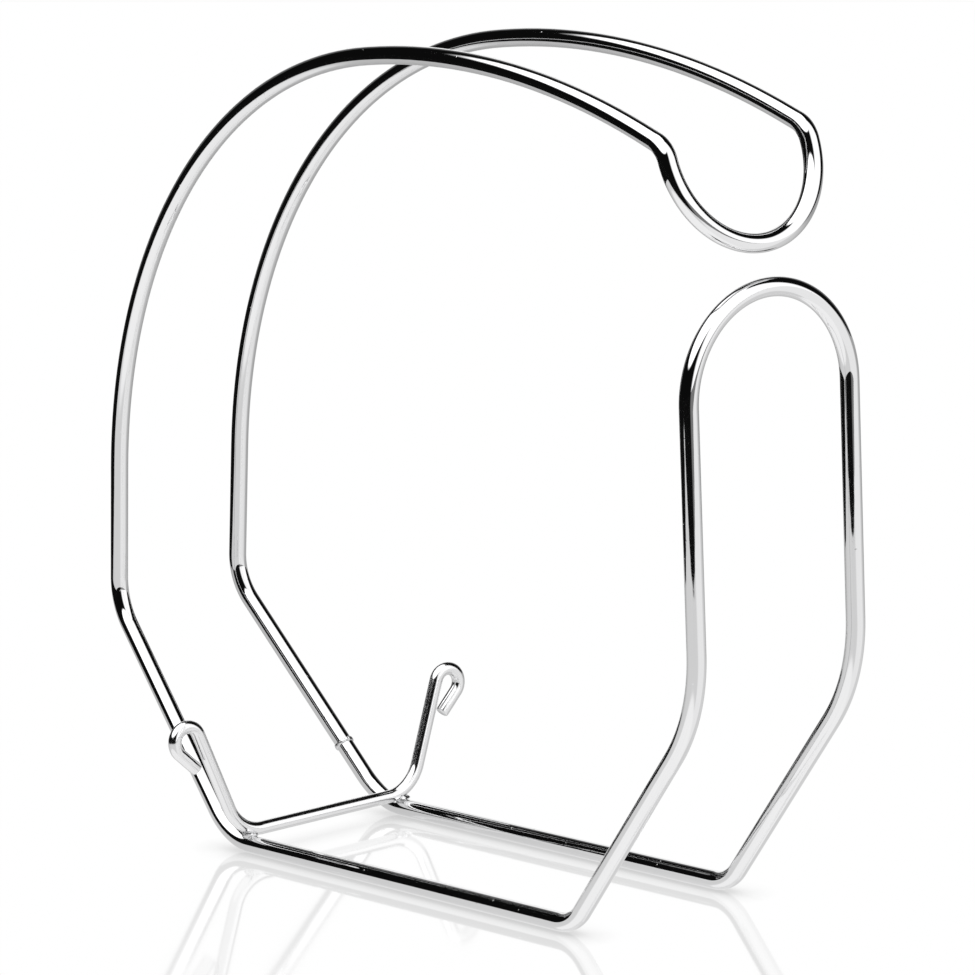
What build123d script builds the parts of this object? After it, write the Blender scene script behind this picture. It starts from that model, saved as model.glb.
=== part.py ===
"""A valet stand of bent round steel wire.

One closed loop of frame wire makes the base, legs, front arch, back and hanging upper loop.
A thinner crossbar with curled ends is welded across the base rails as a pair of hooks.
Millimetres. +Z is up, -Y is the front, X = 0 is the plane of symmetry, and Z = 0 is the surface
that the stand rests on. The origin is below the middle of the stand.
"""
import os
from math import cos, pi, radians, sin, tan

from build123d import *

# Wires
FRAME_D = 6.0
HOOK_D = 4.5

# Half the spacing of the two side rails, between centrelines
BASE_HALF = 32.5  # base, front feet and legs
REAR_HALF = 25.4  # bend behind the base
TOP_HALF = 28.4  # front end of the top rails

# Side view of the frame, corners of the centreline as (y, z)
BASE_FRONT_Y = -88.55
BASE_REAR_Y = 91.95
FRONT_BEND = (-153.25, 78.1)
REAR_BEND = (158.75, 75.9)
LEG_LEN = 93.7
LEG_LEAN = 2.0  # degrees forward of upright

# Back and top: a straight rise, a tight arc and a flatter one
RISE_ANGLE = 82.2  # degrees above level, leaning forward
RISE_LEN = 47.6
BACK_RADIUS = 172.2
BACK_TURN = 78.2
TOP_RADIUS = 314.4
TOP_TURN = 25.3
TOP_RUN = 5.0  # straight end of the top rail, up to the corner of the loop
LOOP_ANGLE = -72.8  # degrees, the way that the hanging loop points
LOOP_LEG = 4.4

# Bends of the frame, centreline radii
FRONT_BEND_R = 55.0
FRONT_CORNER_R = 15.0
REAR_CORNER_R = 28.0
REAR_BEND_R = 20.0
LOOP_BEND_R = 8.5
ARC_CLOSENESS = 0.99  # share of its tangents that each long arc takes up

# Crossbar and its hooks, in the upright plane that holds them
HOOK_Y = 80.95
HOOK_CORNER_X = 36.9
HOOK_FLARE = 20.7  # degrees out from upright
HOOK_CORNER_R = 14.0
HOOK_ARM = 39.2  # from the corner to where the curl starts
CURL_R = 5.0
CURL_TURN = 207.0
CURL_TAIL = 9.0

# Welds
ROOT_GAP = 0.3  # between the crossbar and the rails, filled by the beads
HOOK_SAG = 0.8  # the middle of the crossbar hangs lower than its bends, which lie on the rails
BEAD_R = 4.0
BEAD_H = 3.4
BEAD_EDGE = 1.2
FLASH_SHARE = 0.26  # of the way up the rear foot
FLASH_D = 6.9
FLASH_W = 2.0
FLASH_EDGE = 0.4

FRAME_Z = FRAME_D / 2
HOOK_Z = FRAME_D + ROOT_GAP + HOOK_D / 2 - HOOK_SAG
LEFT, RIGHT = -1, 1


def ahead(point, angle, distance):
    """The (y, z) point at a distance along an angle that is measured up from the front (-Y)."""
    return point[0] - distance * cos(radians(angle)), point[1] + distance * sin(radians(angle))


def between(start, end, share):
    return start + (end - start) * share


# Corners of one side of the frame, from the top of its leg round to the start of the loop
leg_top = ahead(FRONT_BEND, 90 - LEG_LEAN, LEG_LEN)
back_tangent = BACK_RADIUS * tan(radians(BACK_TURN / 2))
top_tangent = TOP_RADIUS * tan(radians(TOP_TURN / 2))
back_corner = ahead(REAR_BEND, RISE_ANGLE, RISE_LEN + back_tangent)
top_corner = ahead(back_corner, RISE_ANGLE - BACK_TURN, back_tangent + top_tangent)
loop_corner = ahead(top_corner, RISE_ANGLE - BACK_TURN - TOP_TURN, top_tangent + TOP_RUN)
loop_start = ahead(loop_corner, LOOP_ANGLE, LOOP_LEG)

# The top rails spread steadily along their length
back_len = RISE_LEN + BACK_RADIUS * radians(BACK_TURN)
rail_len = back_len + TOP_RADIUS * radians(TOP_TURN) + TOP_RUN
back_share = (RISE_LEN + back_len) / 2 / rail_len
top_share = (back_len + rail_len) / 2 / rail_len

SIDE_CORNERS = [
    (BASE_HALF, *leg_top),
    (BASE_HALF, *FRONT_BEND),
    (BASE_HALF, BASE_FRONT_Y, FRAME_Z),
    (BASE_HALF, BASE_REAR_Y, FRAME_Z),
    (REAR_HALF, *REAR_BEND),
    (between(REAR_HALF, TOP_HALF, back_share), *back_corner),
    (between(REAR_HALF, TOP_HALF, top_share), *top_corner),
    (TOP_HALF, *loop_corner),
    (TOP_HALF, *loop_start),
]
SIDE_RADII = [
    FRONT_BEND_R,
    FRONT_CORNER_R,
    REAR_CORNER_R,
    REAR_BEND_R,
    BACK_RADIUS * ARC_CLOSENESS,
    TOP_RADIUS * ARC_CLOSENESS,
    LOOP_BEND_R,
]


def side_points(side):
    return [(side * x, y, z) for x, y, z in SIDE_CORNERS]


def crosswise_arc(half, start, angle):
    """The half circle that joins the two sides at a (y, z) point, bulging the way of an angle."""
    ThreePointArc((-half, *start), (0, *ahead(start, angle, half)), (half, *start))


def swept_wire(path, diameter):
    """Sweep a round section along a path, inside the part being built."""
    with BuildSketch(Plane(origin=path @ 0, z_dir=path % 0)) as section:
        Circle(diameter / 2)
    sweep(section.sketch, path=path)


# Frame wire: two bent sides, the arch across the legs and the loop hanging from the top
with BuildPart() as frame_wire:
    with BuildLine() as frame_path:
        FilletPolyline(*side_points(LEFT), radius=SIDE_RADII)
        crosswise_arc(TOP_HALF, loop_start, LOOP_ANGLE)
        FilletPolyline(*side_points(RIGHT), radius=SIDE_RADII)
        crosswise_arc(BASE_HALF, leg_top, 90 - LEG_LEAN)
    swept_wire(frame_path.wire(), FRAME_D)

# Crossbar: the bar across the rails, an arm at each end and the curl that finishes it
hook_plane = Plane((0, HOOK_Y, 0), x_dir=(1, 0, 0), z_dir=(0, -1, 0))
with BuildPart() as hook_crossbar:
    with BuildLine() as hook_outline:
        arm = Vector(sin(radians(HOOK_FLARE)), cos(radians(HOOK_FLARE)))
        corner = Vector(HOOK_CORNER_X, HOOK_Z)
        arm_end = corner + arm * HOOK_ARM
        FilletPolyline((0, HOOK_Z), corner, arm_end, radius=HOOK_CORNER_R)
        curl = JernArc(arm_end, arm, CURL_R, -CURL_TURN)
        Line(curl @ 1, curl @ 1 + (curl % 1) * CURL_TAIL)
    swept_wire(hook_plane.from_local_coords(hook_outline.wire()), HOOK_D)
    mirror(about=Plane.YZ)

# Ring of flash where the ends of the frame wire are butt-welded
foot = Vector(*side_points(RIGHT)[3])
bend = Vector(*side_points(RIGHT)[4])
with BuildPart() as frame_butt_weld:
    with BuildSketch(Plane(origin=between(foot, bend, FLASH_SHARE), z_dir=bend - foot)):
        Circle(FLASH_D / 2)
    extrude(amount=FLASH_W / 2, both=True)
    chamfer(edges().filter_by(GeomType.CIRCLE), FLASH_EDGE)
    add(frame_wire.part, mode=Mode.SUBTRACT)


# Beads that join the crossbar to the base rails
with BuildPart() as crossbar_weld_left:
    with Locations((-BASE_HALF, HOOK_Y, FRAME_D + ROOT_GAP / 2)):
        Cylinder(BEAD_R, BEAD_H)
    fillet(edges().filter_by(GeomType.CIRCLE), BEAD_EDGE)
    add(frame_wire.part, mode=Mode.SUBTRACT)
    add(hook_crossbar.part, mode=Mode.SUBTRACT)
with BuildPart() as crossbar_weld_right:
    mirror(crossbar_weld_left.part, about=Plane.YZ)

pieces = {
    "frame_wire": frame_wire,
    "hook_crossbar": hook_crossbar,
    "frame_butt_weld": frame_butt_weld,
    "crossbar_weld_left": crossbar_weld_left,
    "crossbar_weld_right": crossbar_weld_right,
}
os.makedirs("parts", exist_ok=True)
for name, piece in pieces.items():
    piece.part.label = name
    export_step(piece.part, f"parts/{name}.step")

section = pi * FRAME_D**2 / 4
skin = sum(face.area for face in frame_wire.part.faces())
print("frame wire: skin / (girth x length) =", skin / (pi * FRAME_D * frame_path.wire().length))
print("frame wire: volume / (section x length) =", frame_wire.part.volume / section / frame_path.wire().length)
print("frame box:", frame_wire.part.bounding_box())
print("crossbar box:", hook_crossbar.part.bounding_box())
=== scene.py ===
"""Looks of the valet stand: two bent chromed wires and their welds, in a white studio.

Metres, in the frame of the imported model. -Y is the front, X = 0 the plane of symmetry, Z = 0 the floor.
"""
from math import cos, pi, radians, sin, tan

import bpy
import numpy as np
from mathutils import Matrix, Vector, noise


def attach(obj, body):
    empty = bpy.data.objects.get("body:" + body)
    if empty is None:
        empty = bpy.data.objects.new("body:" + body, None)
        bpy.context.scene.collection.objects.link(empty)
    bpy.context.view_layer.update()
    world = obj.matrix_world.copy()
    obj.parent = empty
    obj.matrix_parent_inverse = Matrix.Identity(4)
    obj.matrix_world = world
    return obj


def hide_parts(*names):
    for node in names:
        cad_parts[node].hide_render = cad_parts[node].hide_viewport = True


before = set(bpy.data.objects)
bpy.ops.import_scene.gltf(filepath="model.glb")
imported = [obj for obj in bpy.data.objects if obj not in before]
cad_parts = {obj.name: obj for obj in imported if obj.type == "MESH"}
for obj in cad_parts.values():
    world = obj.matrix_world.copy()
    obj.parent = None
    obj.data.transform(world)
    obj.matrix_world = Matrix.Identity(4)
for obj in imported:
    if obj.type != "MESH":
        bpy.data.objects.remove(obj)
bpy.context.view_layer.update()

MM = 0.001

# ---------------------------------------------------------------- driving dimensions, millimetres
FRAME_R = 3.0
HOOK_R = 2.25
BASE_HALF, REAR_HALF, TOP_HALF = 32.5, 25.4, 28.4
BASE_FRONT_Y, BASE_REAR_Y = -88.55, 91.95
FRONT_BEND = (-153.25, 78.1)
REAR_BEND = (158.75, 75.9)
LEG_LEN, LEG_LEAN = 93.7, 2.0
RISE_ANGLE, RISE_LEN = 82.2, 47.6
BACK_RADIUS, BACK_TURN = 172.2, 78.2
TOP_RADIUS, TOP_TURN, TOP_RUN = 314.4, 25.3, 5.0
LOOP_ANGLE, LOOP_LEG = -72.8, 4.4
ARC_CLOSENESS = 0.99  # share of its tangents that each long arc takes up
FRONT_BEND_R, FRONT_CORNER_R, REAR_CORNER_R, REAR_BEND_R, LOOP_BEND_R = 55.0, 15.0, 28.0, 20.0, 8.5
BACK_BEND_R, TOP_BEND_R = BACK_RADIUS * ARC_CLOSENESS, TOP_RADIUS * ARC_CLOSENESS
FRAME_RADII = (
    FRONT_BEND_R, FRONT_CORNER_R, REAR_CORNER_R, REAR_BEND_R, BACK_BEND_R, TOP_BEND_R, LOOP_BEND_R
)
HOOK_Y = 80.95
HOOK_Z = 7.75
HOOK_CORNER_X, HOOK_FLARE, HOOK_CORNER_R, HOOK_ARM = 36.9, 20.7, 14.0, 39.2
CURL_R, CURL_TURN, CURL_TAIL = 5.0, 207.0, 9.0
CURL_STEP = 4.0  # degrees between rings in a curl
FLASH_SHARE = 0.26  # of the way up the +X rear foot


# ---------------------------------------------------------------- camera
CAMERA_AZIMUTH, CAMERA_ELEVATION, CAMERA_ROLL = -38.5, 9.9, -3.5
CAMERA_TARGET = Vector((0.0, -0.01785, 0.1297))
CAMERA_DISTANCE = 1.673
CAMERA_LENS = 192.0  # mm, on Blender's own 36 mm sensor


def view_axes(azimuth, elevation, roll):
    """Right, up and back of a camera that looks along +Y at azimuth 0."""
    a, e, r = radians(azimuth), radians(elevation), radians(roll)
    back = Vector((sin(a) * cos(e), -cos(a) * cos(e), sin(e)))
    right = Vector((0, 0, 1)).cross(back).normalized()
    up = back.cross(right)
    return right * cos(r) + up * sin(r), up * cos(r) - right * sin(r), back


def add_camera():
    right, up, back = view_axes(CAMERA_AZIMUTH, CAMERA_ELEVATION, CAMERA_ROLL)
    data = bpy.data.cameras.new("camera")
    data.lens = CAMERA_LENS
    camera = bpy.data.objects.new("camera", data)
    turn = Matrix((right, up, back)).transposed().to_4x4()
    camera.matrix_world = Matrix.Translation(CAMERA_TARGET + back * CAMERA_DISTANCE) @ turn
    bpy.context.collection.objects.link(camera)
    bpy.context.scene.camera = camera


add_camera()


# ---------------------------------------------------------------- node helpers
class Nodes:
    """A short way to add shader nodes and join them."""

    def __init__(self, tree):
        self.tree = tree
        tree.nodes.clear()

    def add(self, kind, inputs=None, **settings):
        node = self.tree.nodes.new(kind)
        for key, value in settings.items():
            setattr(node, key, value)
        for key, value in (inputs or {}).items():
            self.put(node.inputs[key], value)
        return node

    def put(self, socket, value):
        if isinstance(value, bpy.types.NodeSocket):
            self.tree.links.new(value, socket)
        else:
            socket.default_value = value

    def math(self, operation, *values):
        node = self.add("ShaderNodeMath", operation=operation)
        for socket, value in zip(node.inputs, values):
            self.put(socket, value)
        return node.outputs[0]

    def dot(self, vector, direction):
        node = self.add("ShaderNodeVectorMath", {0: vector, 1: direction}, operation="DOT_PRODUCT")
        return node.outputs["Value"]

    def step(self, value, low, high, bottom=0.0, top=1.0):
        """A smooth ramp from bottom at low to top at high."""
        inputs = {"Value": value, "From Min": low, "From Max": high, "To Min": bottom, "To Max": top}
        return self.add("ShaderNodeMapRange", inputs, interpolation_type="SMOOTHSTEP").outputs[0]

    def noise(self, vector, scale, detail=2.0, roughness=0.5):
        inputs = {"Vector": vector, "Scale": scale, "Detail": detail, "Roughness": roughness}
        return self.add("ShaderNodeTexNoise", inputs).outputs["Fac"]

    def stretched(self, vector, scale):
        inputs = {"Vector": vector, "Scale": scale}
        return self.add("ShaderNodeMapping", inputs).outputs[0]

    def tint(self, factor, dark, light):
        node = self.add("ShaderNodeMix", {"Factor": factor}, data_type="RGBA")
        self.put(node.inputs["A"], dark)
        self.put(node.inputs["B"], light)
        return node.outputs["Result"]

    def bump(self, height, strength, distance, normal=None):
        inputs = {"Height": height, "Strength": strength, "Distance": distance}
        if normal is not None:
            inputs["Normal"] = normal
        return self.add("ShaderNodeBump", inputs).outputs[0]


def level(azimuth):
    """The level direction at a compass angle measured from +X towards +Y, in degrees."""
    return cos(radians(azimuth)), sin(radians(azimuth)), 0.0


# ---------------------------------------------------------------- studio
TABLE_EDGES = ((225, 0.60), (116, 0.50))  # direction and distance of each near edge of the table
TABLE_EDGE_BLUR = 0.01
TABLE_WHITE = 0.9
TABLE_FADE = (51.5, -0.08, 0.42, 0.55)  # direction, where it begins and ends, and what is left
TABLE_GLOSS, TABLE_ROUGHNESS = 0.17, 0.1  # as other surfaces see it
FLOOR_GLOSS, FLOOR_ROUGHNESS = 0.24, 0.06  # as the camera sees it
FLOOR_HALF = 6.0
CONTACT_REACH, CONTACT_WHITE = 0.012, 0.62  # shading where the wire nears the table
CONTACT_OPEN, CONTACT_RAYS = 0.3, 8  # openness at which that shading is full, and its samples
ROOM_DARK = 0.004
CEILING_WHITE = 1.7
CEILING_TILT, CEILING_AZIMUTH, CEILING_HALF = 22, 172, 43  # a round opening that leans to the left
CEILING_BLUR = 2.5  # degrees, either way
WALL_AZIMUTHS = (-120, -107, -38, -32)  # where the white wall begins, is full, begins to end, and ends
WALL_WHITE = 1.25
BACKDROP_AZIMUTH, BACKDROP_HALF, BACKDROP_BLUR = 51.5, 15, 1.5
GLOW_HALF, GLOW_BLUR, GLOW_WHITE = 47, 6, 0.14  # the dimmer paper round the backdrop


def cone(n, way, azimuth, elevation, half, blur, bright):
    """Bright inside a cone about one direction, and dark outside it."""
    axis = Vector(level(azimuth)) * cos(radians(elevation))
    axis.z = sin(radians(elevation))
    outer, inner = cos(radians(half + blur)), cos(radians(half - blur))
    return n.step(n.dot(way, axis), outer, inner, 0.0, bright)


def light_world():
    """A white studio: plain to the eye, with its dark side, soft ceiling and white wall in reflections."""
    world = bpy.data.worlds.new("studio")
    bpy.context.scene.world = world
    world.use_nodes = True
    n = Nodes(world.node_tree)
    way = n.add("ShaderNodeTexCoord").outputs["Generated"]
    ceiling = cone(n, way, CEILING_AZIMUTH, 90 - CEILING_TILT, CEILING_HALF, CEILING_BLUR, CEILING_WHITE)
    around = n.math("ARCTAN2", n.dot(way, (0, 1, 0)), n.dot(way, (1, 0, 0)))
    start, full, fade, end = (radians(azimuth) for azimuth in WALL_AZIMUTHS)
    rise, fall = n.step(around, start, full, 0.0, WALL_WHITE), n.step(around, fade, end, 1.0, 0.0)
    wall = n.math("MULTIPLY", rise, fall)
    backdrop = cone(n, way, BACKDROP_AZIMUTH, CAMERA_ELEVATION, BACKDROP_HALF, BACKDROP_BLUR, 1.0)
    glow = cone(n, way, BACKDROP_AZIMUTH, -CAMERA_ELEVATION, GLOW_HALF, GLOW_BLUR, GLOW_WHITE)
    studio = ROOM_DARK
    for part in (ceiling, wall, backdrop, glow):
        studio = n.math("MAXIMUM", studio, part)
    seen = n.add("ShaderNodeLightPath").outputs["Is Camera Ray"]
    strength = n.add("ShaderNodeMix", {"Factor": seen, "A": studio, "B": 1.0})
    background = n.add("ShaderNodeBackground", {"Color": (1, 1, 1, 1), "Strength": strength.outputs[0]})
    n.add("ShaderNodeOutputWorld", {"Surface": background.outputs[0]})


def floor_material():
    """White gloss table. It ends in reflections, as the real one does, but fills the view."""
    material = bpy.data.materials.new("white_table")
    material.use_nodes = True
    n = Nodes(material.node_tree)
    place = n.add("ShaderNodeNewGeometry").outputs["Position"]
    inside = 1.0
    for azimuth, distance in TABLE_EDGES:
        reach = n.dot(place, level(azimuth))
        inside = n.math("MULTIPLY", inside, n.step(reach, distance, distance + TABLE_EDGE_BLUR, 1.0, 0.0))
    azimuth, begin, finish, left = TABLE_FADE
    fade = n.step(n.dot(place, level(azimuth)), begin, finish, TABLE_WHITE, TABLE_WHITE * left)
    reflected = n.math("MAXIMUM", n.math("MULTIPLY", inside, fade), ROOM_DARK)
    contact = n.add("ShaderNodeAmbientOcclusion", {"Distance": CONTACT_REACH}, samples=CONTACT_RAYS)
    direct = n.step(contact.outputs["AO"], CONTACT_OPEN, 1.0, CONTACT_WHITE, 1.0)
    seen = n.add("ShaderNodeLightPath").outputs["Is Camera Ray"]
    lit = n.add("ShaderNodeMix", {"Factor": seen, "A": reflected, "B": direct}).outputs[0]
    white = n.add("ShaderNodeEmission", {"Strength": lit})
    rough = n.add("ShaderNodeMix", {"Factor": seen, "A": TABLE_ROUGHNESS, "B": FLOOR_ROUGHNESS}).outputs[0]
    share = n.add("ShaderNodeMix", {"Factor": seen, "A": TABLE_GLOSS, "B": FLOOR_GLOSS}).outputs[0]
    gloss = n.add("ShaderNodeBsdfGlossy", {"Color": (1, 1, 1, 1), "Roughness": rough})
    inputs = {0: share, 1: white.outputs[0], 2: gloss.outputs[0]}
    mixed = n.add("ShaderNodeMixShader", inputs)
    n.add("ShaderNodeOutputMaterial", {"Surface": mixed.outputs[0]})
    return material


def add_floor():
    signs = ((-1, -1), (1, -1), (1, 1), (-1, 1))
    mesh = bpy.data.meshes.new("floor")
    mesh.from_pydata([(x * FLOOR_HALF, y * FLOOR_HALF, 0) for x, y in signs], [], [(0, 1, 2, 3)])
    mesh.materials.append(floor_material())
    floor = bpy.data.objects.new("floor", mesh)
    bpy.context.collection.objects.link(floor)


bpy.context.scene.view_settings.view_transform = "Standard"
light_world()
add_floor()


# ---------------------------------------------------------------- materials
# Sizes on the wire are in metres. A stretch below 1 draws a pattern out along the wire.
WAVE_SCALE, WAVE_STRETCH, WAVE_STRENGTH, WAVE_DEPTH = 160.0, 0.5, 0.35, 0.00012
LINE_SCALE, LINE_STRETCH, LINE_STRENGTH = 2600.0, 0.012, 0.2
GRAIN_SCALE, GRAIN_LOW, GRAIN_HIGH = 1500.0, 0.35, 0.75
SCUFF_SCALE, SCUFF_STRETCH, SCUFF_LOW, SCUFF_HIGH, SCUFF_DULLING = 1100.0, 0.12, 0.66, 0.74, 0.12
PIT_SCALE, PIT_INNER, PIT_OUTER, PIT_STRENGTH, PIT_DEPTH = 210.0, 0.05, 0.09, 0.5, 0.00004
CHROME_DARK, CHROME_LIGHT = (0.79, 0.79, 0.795, 1), (0.84, 0.84, 0.845, 1)


def chrome_material(name, smoothest, roughest, line_depth):
    """Polished chrome over drawn wire: faintly wavy, with draw lines along it and a few pits and scuffs."""
    material = bpy.data.materials.new(name)
    material.use_nodes = True
    n = Nodes(material.node_tree)
    on_wire = n.add("ShaderNodeAttribute", attribute_name="on_wire").outputs["Vector"]
    waves = n.noise(n.stretched(on_wire, (1.0, 1.0, WAVE_STRETCH)), WAVE_SCALE, detail=1.0)
    lines = n.noise(n.stretched(on_wire, (1.0, 1.0, LINE_STRETCH)), LINE_SCALE, detail=3.0)
    grain = n.noise(on_wire, GRAIN_SCALE, detail=4.0)
    scuffed = n.stretched(on_wire, (1.0, 1.0, SCUFF_STRETCH))
    scuffs = n.noise(scuffed, SCUFF_SCALE, detail=5.0, roughness=0.7)
    scuffs = n.step(scuffs, SCUFF_LOW, SCUFF_HIGH)
    pits = n.add("ShaderNodeTexVoronoi", {"Vector": on_wire, "Scale": PIT_SCALE, "Randomness": 1.0})
    pits = n.step(pits.outputs["Distance"], PIT_INNER, PIT_OUTER, 1.0, 0.0)
    normal = n.bump(waves, WAVE_STRENGTH, WAVE_DEPTH)
    normal = n.bump(lines, LINE_STRENGTH, line_depth, normal)
    normal = n.bump(pits, PIT_STRENGTH, PIT_DEPTH, normal)
    polish = n.step(grain, GRAIN_LOW, GRAIN_HIGH, smoothest, roughest)
    rough = n.math("ADD", polish, n.math("MULTIPLY", scuffs, SCUFF_DULLING))
    finish_metal(n, n.tint(lines, CHROME_DARK, CHROME_LIGHT), rough, normal)
    return material


RIPPLE_SCALE, RIPPLE_STRENGTH, RIPPLE_DEPTH = 900.0, 0.2, 0.0003
RIPPLE_LOW, RIPPLE_HIGH = 0.3, 0.7
WELD_GRAIN_SCALE, WELD_GRAIN_STRENGTH, WELD_GRAIN_DEPTH = 4000.0, 0.08, 0.00005
WELD_SMOOTHEST, WELD_ROUGHEST = 0.14, 0.3
WELD_DARK, WELD_LIGHT = (0.62, 0.62, 0.625, 1), (0.74, 0.745, 0.75, 1)


def weld_material():
    """Plated weld metal: duller than the wire, with ripples and grain."""
    material = bpy.data.materials.new("weld")
    material.use_nodes = True
    n = Nodes(material.node_tree)
    place = n.add("ShaderNodeTexCoord").outputs["Object"]
    ripples = n.noise(place, RIPPLE_SCALE, detail=3.0)
    grain = n.noise(place, WELD_GRAIN_SCALE, detail=2.0)
    normal = n.bump(ripples, RIPPLE_STRENGTH, RIPPLE_DEPTH)
    normal = n.bump(grain, WELD_GRAIN_STRENGTH, WELD_GRAIN_DEPTH, normal)
    rough = n.step(ripples, RIPPLE_LOW, RIPPLE_HIGH, WELD_SMOOTHEST, WELD_ROUGHEST)
    finish_metal(n, n.tint(grain, WELD_DARK, WELD_LIGHT), rough, normal)
    return material


def finish_metal(n, colour, rough, normal):
    """The metal shader that both kinds of surface end in."""
    inputs = {"Base Color": colour, "Metallic": 1.0, "Roughness": rough, "Normal": normal}
    shader = n.add("ShaderNodeBsdfPrincipled", inputs)
    n.add("ShaderNodeOutputMaterial", {"Surface": shader.outputs[0]})


CHROME = chrome_material("chrome", smoothest=0.025, roughest=0.055, line_depth=0.000012)
DRAWN_CHROME = chrome_material("drawn_chrome", smoothest=0.10, roughest=0.17, line_depth=0.00003)
WELD = weld_material()


# ---------------------------------------------------------------- centrelines
def ahead(point, angle, distance):
    """The (y, z) point at a distance along an angle that is measured up from the front (-Y)."""
    return point[0] - distance * cos(radians(angle)), point[1] + distance * sin(radians(angle))


def side_corners():
    """Corners of one side of the frame, from the top of its leg round to the start of the loop."""
    leg_top = ahead(FRONT_BEND, 90 - LEG_LEAN, LEG_LEN)
    back_tangent = BACK_RADIUS * tan(radians(BACK_TURN / 2))
    top_tangent = TOP_RADIUS * tan(radians(TOP_TURN / 2))
    top_angle = RISE_ANGLE - BACK_TURN
    back_corner = ahead(REAR_BEND, RISE_ANGLE, RISE_LEN + back_tangent)
    top_corner = ahead(back_corner, top_angle, back_tangent + top_tangent)
    loop_corner = ahead(top_corner, top_angle - TOP_TURN, top_tangent + TOP_RUN)
    loop_start = ahead(loop_corner, LOOP_ANGLE, LOOP_LEG)
    back_len = RISE_LEN + BACK_RADIUS * radians(BACK_TURN)
    rail_len = back_len + TOP_RADIUS * radians(TOP_TURN) + TOP_RUN
    back_share = (RISE_LEN + back_len) / 2 / rail_len
    top_share = (back_len + rail_len) / 2 / rail_len
    spread = TOP_HALF - REAR_HALF
    places = [
        (BASE_HALF, *leg_top),
        (BASE_HALF, *FRONT_BEND),
        (BASE_HALF, BASE_FRONT_Y, FRAME_R),
        (BASE_HALF, BASE_REAR_Y, FRAME_R),
        (REAR_HALF, *REAR_BEND),
        (REAR_HALF + spread * back_share, *back_corner),
        (REAR_HALF + spread * top_share, *top_corner),
        (TOP_HALF, *loop_corner),
        (TOP_HALF, *loop_start),
    ]
    return [Vector(place) for place in places]


ARC_STEP = 1.5  # degrees between rings in a bend
RUN_STEP = 6.0  # mm between rings on a straight run


def arc_points(centre, start, axis, turn, step=ARC_STEP):
    """Points from start, turned about an axis through the centre by so many degrees."""
    count = max(4, round(abs(turn) / step))
    spoke = start - centre
    return [centre + Matrix.Rotation(radians(turn * i / count), 3, axis) @ spoke for i in range(count + 1)]


def rounded(corners, radii):
    """Points along straight runs joined by tangent arcs."""
    points = [corners[0]]
    for before, corner, after, radius in zip(corners, corners[1:], corners[2:], radii):
        back, on = (before - corner).normalized(), (after - corner).normalized()
        turn = pi - back.angle(on)
        start = corner + back * radius * tan(turn / 2)
        centre = corner + (back + on).normalized() * radius / cos(turn / 2)
        step = min(ARC_STEP, 180 / pi * RUN_STEP / radius)
        points += arc_points(centre, start, (-back).cross(on).normalized(), turn * 180 / pi, step)
    points.append(corners[-1])
    return divided(points)


def divided(points):
    """The same line, with no gap between points longer than a run's step."""
    out = [points[0]]
    for start, end in zip(points, points[1:]):
        gap = (end - start).length
        if gap < 1e-6:
            continue
        count = max(1, round(gap / RUN_STEP))
        out += [start.lerp(end, i / count) for i in range(1, count + 1)]
    return out


def frame_line():
    """The closed centreline of the frame wire, from the middle of the front arch round."""
    right = side_corners()
    left = [Vector((-p.x, p.y, p.z)) for p in right]
    arch_top, loop_top = right[0], right[-1]
    arch_way = Vector((0, *ahead((0, 0), 90 - LEG_LEAN, 1.0)))
    loop_way = Vector((0, *ahead((0, 0), LOOP_ANGLE, 1.0)))
    side = Vector((1, 0, 0))
    arch = arc_points(Vector((0, arch_top.y, arch_top.z)), arch_top, side.cross(arch_way), 180)
    loop = arc_points(Vector((0, loop_top.y, loop_top.z)), left[-1], (-side).cross(loop_way), 180)
    points = arch + rounded(left, FRAME_RADII) + loop + rounded(right, FRAME_RADII)[::-1]
    points = [p for p, q in zip(points, points[1:] + points[:1]) if (p - q).length > 1e-4]
    weld = weld_place()[0]
    nearest = min(range(len(points)), key=lambda i: (points[i] - weld).length)
    return [weld] + points[nearest + 1:] + points[:nearest]


def weld_place():
    """The middle of the butt weld and the way that the wire runs through it."""
    foot, bend = side_corners()[3:5]
    return foot.lerp(bend, FLASH_SHARE), (bend - foot).normalized()


def hook_line():
    """The centreline of the crossbar, from the cut end of one curl to that of the other."""
    arm = Vector((sin(radians(HOOK_FLARE)), 0, cos(radians(HOOK_FLARE))))
    corner = Vector((HOOK_CORNER_X, HOOK_Y, HOOK_Z))
    arm_end = corner + arm * HOOK_ARM
    outward = Vector((arm.z, 0, -arm.x))
    curl = arc_points(arm_end + outward * CURL_R, arm_end, Vector((0, 1, 0)), CURL_TURN, CURL_STEP)
    tail = (curl[-1] - curl[-2]).normalized() * CURL_TAIL
    half = rounded([Vector((0, HOOK_Y, HOOK_Z)), corner, arm_end], (HOOK_CORNER_R,))
    half = divided(half + curl[1:] + [curl[-1] + tail])
    return [Vector((-p.x, p.y, p.z)) for p in half[:0:-1]] + half


# ---------------------------------------------------------------- wires as meshes
WIRE_SIDES = 48
CAP_SHARE = 0.9  # of the radius, taken up by the flat of a cut end
CAP_RINGS = ((0.0, CAP_SHARE), (0.12, 0.97), (0.35, 1.0))  # mm in from a cut end, and share of the radius


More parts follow.
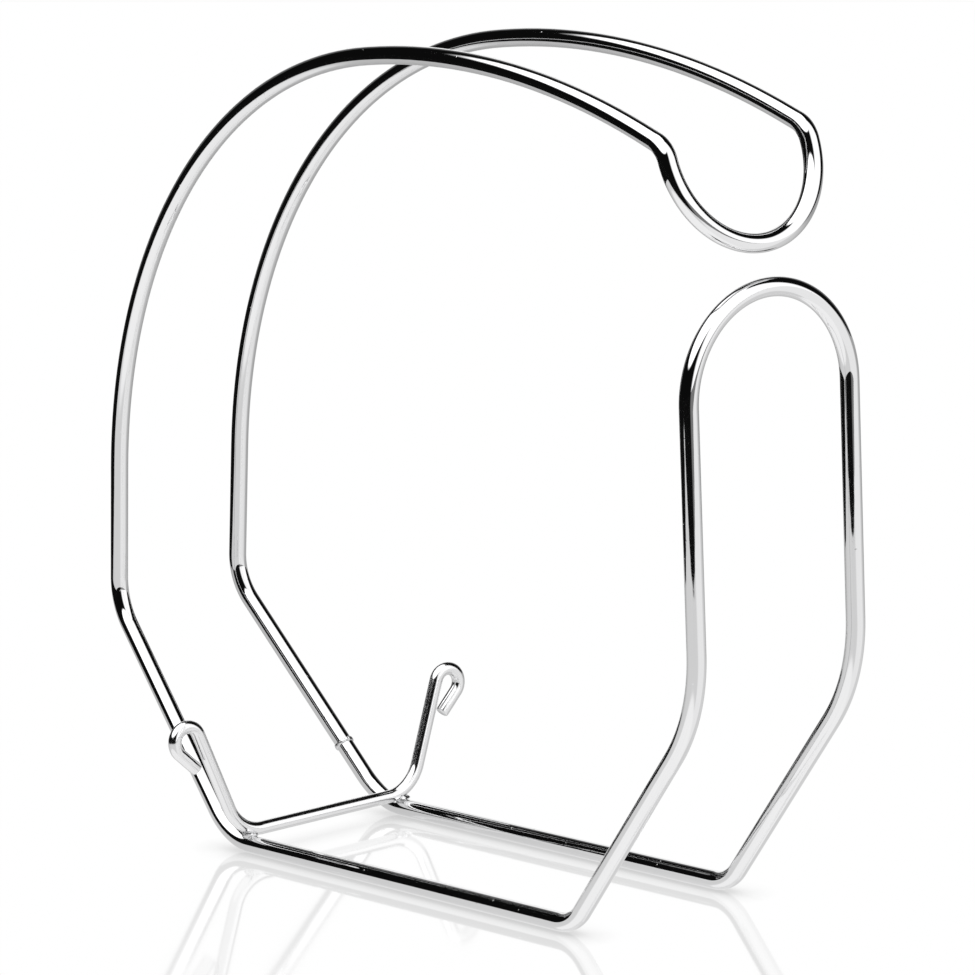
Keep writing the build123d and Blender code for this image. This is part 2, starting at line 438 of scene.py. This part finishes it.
def turning_frames(points, closed):
    """A pair of cross directions at each point, carried along without twist, closing on itself."""
    count = len(points)
    follow = [points[(i + 1) % count] - points[i - 1] for i in range(count)]
    if not closed:
        follow[0], follow[-1] = points[1] - points[0], points[-1] - points[-2]
    ways = [f.normalized() for f in follow]
    first = ways[0].orthogonal().normalized()
    normals = [first]
    for a, b in zip(ways, ways[1:]):
        normals.append((a.rotation_difference(b) @ normals[-1]).normalized())
    if closed:
        last = ways[-1].rotation_difference(ways[0]) @ normals[-1]
        twist = last.angle(first) * (1 if last.cross(first).dot(ways[0]) > 0 else -1)
        normals = [
            Matrix.Rotation(twist * i / count, 3, way) @ normal
            for i, (way, normal) in enumerate(zip(ways, normals))
        ]
    return [(normal, way.cross(normal)) for way, normal in zip(ways, normals)]


def wire(name, points, radius, closed, material):
    """A round wire along points in millimetres, as a smooth closed mesh in metres."""
    radii = [radius] * len(points)
    if not closed:
        points, radii = with_cut_ends(points, radius)
    angles = [2 * pi * k / WIRE_SIDES for k in range(WIRE_SIDES)]
    spokes = [Vector((cos(angle), sin(angle), 0)) for angle in angles]
    verts = []
    for point, share, (across, over) in zip(points, radii, turning_frames(points, closed)):
        verts += [(point + (across * s.x + over * s.y) * share) * MM for s in spokes]
    runs = [0.0]
    for start, end in zip(points, points[1:] + points[:1]):
        runs.append(runs[-1] + (end - start).length)
    rings = len(points)
    faces, places = [], []
    for i in range(rings if closed else rings - 1):
        a, b = i * WIRE_SIDES, (i + 1) % rings * WIRE_SIDES
        for k in range(WIRE_SIDES):
            m = (k + 1) % WIRE_SIDES
            faces.append((a + k, a + m, b + m, b + k))
            for side, run in ((k, runs[i]), (m, runs[i]), (m, runs[i + 1]), (k, runs[i + 1])):
                places.append((spokes[side] * radius + Vector((0, 0, run))) * MM)
    if not closed:
        for ring, order in ((0, -1), (rings - 1, 1)):
            verts.append(points[ring] * MM)
            middle = Vector((0, 0, runs[ring]))
            for k in range(WIRE_SIDES):
                sides = (k, (k + 1) % WIRE_SIDES)[::order]
                faces.append((*(ring * WIRE_SIDES + side for side in sides), len(verts) - 1))
                places += [(spokes[side] * radius * CAP_SHARE + middle) * MM for side in sides]
                places.append(middle * MM)
    return add_mesh(name, verts, faces, material, places)


def with_cut_ends(points, radius):
    """Rings close to both cut ends, whose edges are slightly rounded."""
    head, tail = (points[1] - points[0]).normalized(), (points[-2] - points[-1]).normalized()
    start = [points[0] + head * depth for depth, _ in CAP_RINGS]
    end = [points[-1] + tail * depth for depth, _ in CAP_RINGS]
    shares = [share for _, share in CAP_RINGS]
    radii = [radius * s for s in shares] + [radius] * (len(points) - 2) + [radius * s for s in shares[::-1]]
    return start + points[1:-1] + end[::-1], radii


def add_mesh(name, verts, faces, material, places=None):
    mesh = bpy.data.meshes.new(name)
    mesh.from_pydata([tuple(v) for v in verts], [], faces)
    mesh.materials.append(material)
    mesh.polygons.foreach_set("use_smooth", [True] * len(faces))
    if places:
        spots = mesh.attributes.new("on_wire", "FLOAT_VECTOR", "CORNER")
        spots.data.foreach_set("vector", np.array(places, dtype=np.float32).ravel())
    mesh.update()
    piece = bpy.data.objects.new(name, mesh)
    bpy.context.collection.objects.link(piece)
    return piece


def build_wires():
    bent = wire("frame_wire_polished", frame_line(), FRAME_R, True, CHROME)
    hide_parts("frame_wire")
    bar = wire("hook_crossbar_polished", hook_line(), HOOK_R, False, DRAWN_CHROME)
    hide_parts("hook_crossbar")
    for piece in (bent, bar):
        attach(piece, "root")


build_wires()


# ---------------------------------------------------------------- welds
FLASH_SIDES, FLASH_ARCS = 96, 14
FLASH_HALF_WIDTH, FLASH_RISE, FLASH_DEPTH = 0.85, 0.48, 0.5  # mm
FLASH_SHIFT, FLASH_WOBBLE = 0.3, 0.06  # mm, along the wire and outward
FLASH_RISE_LAYERS = ((0.45, 2.0), (0.35, 7.0))  # amount and fineness of each layer of noise
FLASH_WIDTH_LAYERS = ((0.5, 2.5),)
FLASH_SHIFT_FINENESS, FLASH_WOBBLE_FINENESS = 1.6, 3.0
BEAD_SEMI = (2.7, 2.8, 1.35)  # mm, half the size along X, Y and Z
BEAD_Z = 6.25
BEAD_RINGS, BEAD_SIDES = 28, 48
BEAD_LAYERS = ((0.22, 1.7), (0.08, 5.0))


def uneven(place, fineness, seed):
    """Noise between about -1 and 1."""
    return noise.noise(place * fineness + Vector((seed * 7.3, seed * 3.1, seed * 5.7)))


def swelling(place, layers, seed):
    """1, give or take some layers of noise."""
    size = 1.0
    for number, (amount, fineness) in enumerate(layers):
        size += amount * uneven(place, fineness, seed + number)
    return size


def flash_ring():
    """The thin raised ring left by the butt weld, uneven in height, width and place."""
    middle, way = weld_place()
    across = way.orthogonal().normalized()
    over = way.cross(across)
    verts, faces = [], []
    for i in range(FLASH_SIDES):
        angle = 2 * pi * i / FLASH_SIDES
        spoke = across * cos(angle) + over * sin(angle)
        rise = FLASH_RISE * swelling(spoke, FLASH_RISE_LAYERS, 1)
        half = FLASH_HALF_WIDTH * swelling(spoke, FLASH_WIDTH_LAYERS, 3)
        shift = FLASH_SHIFT * uneven(spoke, FLASH_SHIFT_FINENESS, 4)
        for j in range(FLASH_ARCS):
            turn = 2 * pi * j / FLASH_ARCS
            height = rise * max(0.0, sin(turn)) + FLASH_DEPTH * min(0.0, sin(turn))
            spot = spoke * 3 + way * cos(turn)
            wobble = FLASH_WOBBLE * uneven(spot, FLASH_WOBBLE_FINENESS, 5)
            place = middle + spoke * (FRAME_R + height + wobble) + way * (half * cos(turn) + shift)
            verts.append(place * MM)
            a, b = i * FLASH_ARCS, (i + 1) % FLASH_SIDES * FLASH_ARCS
            k = (j + 1) % FLASH_ARCS
            faces.append((a + j, b + j, b + k, a + k))
    return add_mesh("frame_butt_weld_flash", verts, faces, WELD)


def weld_bead(name, side, seed):
    """An uneven nugget of weld between the crossbar and one base rail."""
    middle = Vector((side * BASE_HALF, HOOK_Y, BEAD_Z))
    verts, faces = [(middle + Vector((0, 0, BEAD_SEMI[2]))) * MM], []
    for i in range(1, BEAD_RINGS):
        tilt = pi * i / BEAD_RINGS
        for k in range(BEAD_SIDES):
            angle = 2 * pi * k / BEAD_SIDES
            way = Vector((sin(tilt) * cos(angle), sin(tilt) * sin(angle), cos(tilt)))
            swell = swelling(way, BEAD_LAYERS, seed)
            spot = Vector(way[axis] * BEAD_SEMI[axis] * swell for axis in range(3))
            verts.append((middle + spot) * MM)
    verts.append((middle - Vector((0, 0, BEAD_SEMI[2]))) * MM)
    last = len(verts) - 1
    for k in range(BEAD_SIDES):
        m = (k + 1) % BEAD_SIDES
        faces.append((0, 1 + k, 1 + m))
        for i in range(BEAD_RINGS - 2):
            a, b = 1 + i * BEAD_SIDES, 1 + (i + 1) * BEAD_SIDES
            faces.append((a + k, b + k, b + m, a + m))
        base = 1 + (BEAD_RINGS - 2) * BEAD_SIDES
        faces.append((base + k, last, base + m))
    return add_mesh(name, verts, faces, WELD)


def build_welds():
    welds = {
        "frame_butt_weld": flash_ring(),
        "crossbar_weld_left": weld_bead("crossbar_weld_left_bead", -1, 11),
        "crossbar_weld_right": weld_bead("crossbar_weld_right_bead", 1, 23),
    }
    for node, piece in welds.items():
        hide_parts(node)
        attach(piece, "root")


build_welds()
